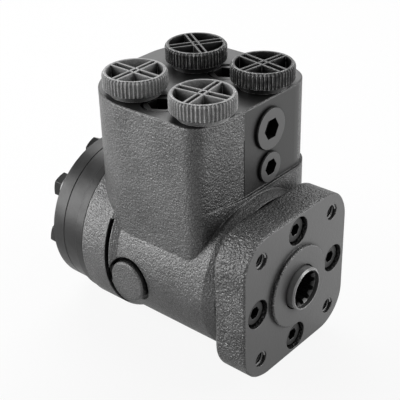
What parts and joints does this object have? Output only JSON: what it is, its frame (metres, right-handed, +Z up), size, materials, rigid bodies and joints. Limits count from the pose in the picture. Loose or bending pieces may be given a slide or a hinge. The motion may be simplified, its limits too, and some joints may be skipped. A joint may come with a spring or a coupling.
{
  "type": "orbital steering unit",
  "caption": "Hydrostatic orbital steering unit: round barrel with square column flange, square port block with capped ports, rotary spool valve and gerotor meter",
  "frame": {"origin": "Where the shaft axis meets the machined face of the front cover that seats on the steering column.", "axes": "+Y along the shaft towards the end cover, +Z up to the ports, +X to the right as seen from the column."},
  "size_m": [0.097, 0.1492, 0.1489],
  "materials": {
    "cast_iron_dark": "grainy casting in dark primer",
    "machined_dark": "machined face under thin dark primer",
    "black_oxide": "black oxide",
    "bright_steel": "ground hardened steel",
    "rubber": "nitrile rubber",
    "grey_plastic": "moulded polyethylene, grey",
    "black_plastic": "moulded polyethylene, black",
    "spring_steel": "oiled spring steel",
    "copper": "soft copper sealing washer"
  },
  "bodies": {
    "unit": {"housing": "cast_iron_dark", "front_cover": "cast_iron_dark", "front_cover_screws": "black_oxide", "dust_seal": "rubber", "shaft_seal": "rubber", "cover_o_ring": "rubber", "thrust_outer_race": "bright_steel", "distributor_plate": "machined_dark", "gear_ring": "machined_dark", "end_cover": "machined_dark", "end_bolts": "black_oxide", "end_bolt_washers": "copper", "plate_o_ring": "rubber", "ring_o_ring": "rubber", "end_cover_o_ring": "rubber", "relief_valve_plug": "machined_dark", "relief_plug_seal": "rubber", "relief_seat": "bright_steel", "relief_spring": "spring_steel", "check_valve_plug": "machined_dark", "check_plug_seal": "rubber", "check_spring": "spring_steel", "inlet_bushing": "bright_steel", "suction_stop_pins": "bright_steel", "shock_valve_plug_left": "machined_dark", "shock_spring_left": "spring_steel", "shock_valve_plug_right": "machined_dark", "shock_spring_right": "spring_steel"},
    "spool_set": {"spool": "bright_steel"},
    "sleeve_set": {"sleeve": "bright_steel", "leaf_springs": "spring_steel", "spring_retainer": "bright_steel", "cross_pin": "bright_steel", "thrust_inner_race": "bright_steel"},
    "thrust_bearing": {"thrust_cage": "bright_steel", "thrust_needles": "bright_steel"},
    "orbit_spacer": {"cardan_spacer": "bright_steel"},
    "rotor_gear": {"rotor": "bright_steel"},
    "cardan": {"cardan_shaft": "bright_steel"},
    "relief_piston": {"relief_poppet": "bright_steel"},
    "check_valve_ball": {"check_ball": "bright_steel"},
    "shock_valve_ball_left": {"shock_ball_left": "bright_steel"},
    "shock_valve_ball_right": {"shock_ball_right": "bright_steel"},
    "inlet_valve_ball": {"inlet_ball": "bright_steel"},
    "suction_valve_ball_left": {"suction_ball_left": "bright_steel"},
    "suction_valve_ball_right": {"suction_ball_right": "bright_steel"},
    "cap_left_front": {"port_cap_left_front": "grey_plastic"},
    "cap_left_rear": {"port_cap_left_rear": "grey_plastic"},
    "cap_right_front": {"port_cap_right_front": "black_plastic"},
    "cap_right_rear": {"port_cap_right_rear": "black_plastic"}
  },
  "joints": [
    {"name": "sleeve_turn", "type": "hinge", "parent": "unit", "child": "sleeve_set", "pos_m": [0, 0, 0], "axis": [0, 1, 0], "continuous": true},
    {"name": "spool_turn", "type": "hinge", "parent": "sleeve_set", "child": "spool_set", "pos_m": [0, 0, 0], "axis": [0, 1, 0], "range_deg": [-8, 8], "stiffness_Nm_per_rad": 5, "deforming": ["leaf_springs"]},
    {"name": "bearing_turn", "type": "hinge", "parent": "unit", "child": "thrust_bearing", "pos_m": [0, 0, 0], "axis": [0, 1, 0], "continuous": true},
    {"name": "rotor_orbit", "type": "hinge", "parent": "unit", "child": "orbit_spacer", "pos_m": [0, 0, 0], "axis": [0, 1, 0], "continuous": true},
    {"name": "rotor_turn", "type": "hinge", "parent": "orbit_spacer", "child": "rotor_gear", "pos_m": [0, 0.11945, 0.00275], "axis": [0, 1, 0], "continuous": true},
    {"name": "cardan_turn", "type": "hinge", "parent": "orbit_spacer", "child": "cardan", "pos_m": [0, 0.05, 0], "axis": [0, 0.9992, 0.0396], "continuous": true},
    {"name": "relief_lift", "type": "slide", "parent": "unit", "child": "relief_piston", "axis": [0, -1, 0], "range_m": [0, 0.0015], "stiffness_N_per_m": 20000, "deforming": ["relief_spring"]},
    {"name": "check_lift", "type": "slide", "parent": "unit", "child": "check_valve_ball", "axis": [0, -1, 0], "range_m": [0, 0.0015], "stiffness_N_per_m": 300, "deforming": ["check_spring"]},
    {"name": "shock_lift_left", "type": "slide", "parent": "unit", "child": "shock_valve_ball_left", "axis": [0, 0, 1], "range_m": [0, 0.0015], "stiffness_N_per_m": 300, "deforming": ["shock_spring_left"]},
    {"name": "shock_lift_right", "type": "slide", "parent": "unit", "child": "shock_valve_ball_right", "axis": [0, 0, 1], "range_m": [0, 0.0015], "stiffness_N_per_m": 300, "deforming": ["shock_spring_right"]},
    {"name": "inlet_lift", "type": "slide", "parent": "unit", "child": "inlet_valve_ball", "axis": [0, 1, 0], "range_m": [0, 0.0015]},
    {"name": "suction_lift_left", "type": "slide", "parent": "unit", "child": "suction_valve_ball_left", "axis": [0, 1, 0], "range_m": [0, 0.001]},
    {"name": "suction_lift_right", "type": "slide", "parent": "unit", "child": "suction_valve_ball_right", "axis": [0, 1, 0], "range_m": [0, 0.001]},
    {"name": "cap_left_front_lift", "type": "slide", "parent": "unit", "child": "cap_left_front", "axis": [0, 0, 1], "range_m": [0, 0.014]},
    {"name": "cap_left_rear_lift", "type": "slide", "parent": "unit", "child": "cap_left_rear", "axis": [0, 0, 1], "range_m": [0, 0.014]},
    {"name": "cap_right_front_lift", "type": "slide", "parent": "unit", "child": "cap_right_front", "axis": [0, 0, 1], "range_m": [0, 0.014]},
    {"name": "cap_right_rear_lift", "type": "slide", "parent": "unit", "child": "cap_right_rear", "axis": [0, 0, 1], "range_m": [0, 0.014]}
  ],
  "couplings": [
    {"joint": "bearing_turn", "follows": "sleeve_turn", "ratio": 0.5},
    {"joint": "rotor_orbit", "follows": "sleeve_turn", "ratio": -6},
    {"joint": "rotor_turn", "follows": "sleeve_turn", "ratio": 7},
    {"joint": "cardan_turn", "follows": "sleeve_turn", "ratio": 7}
  ]
}
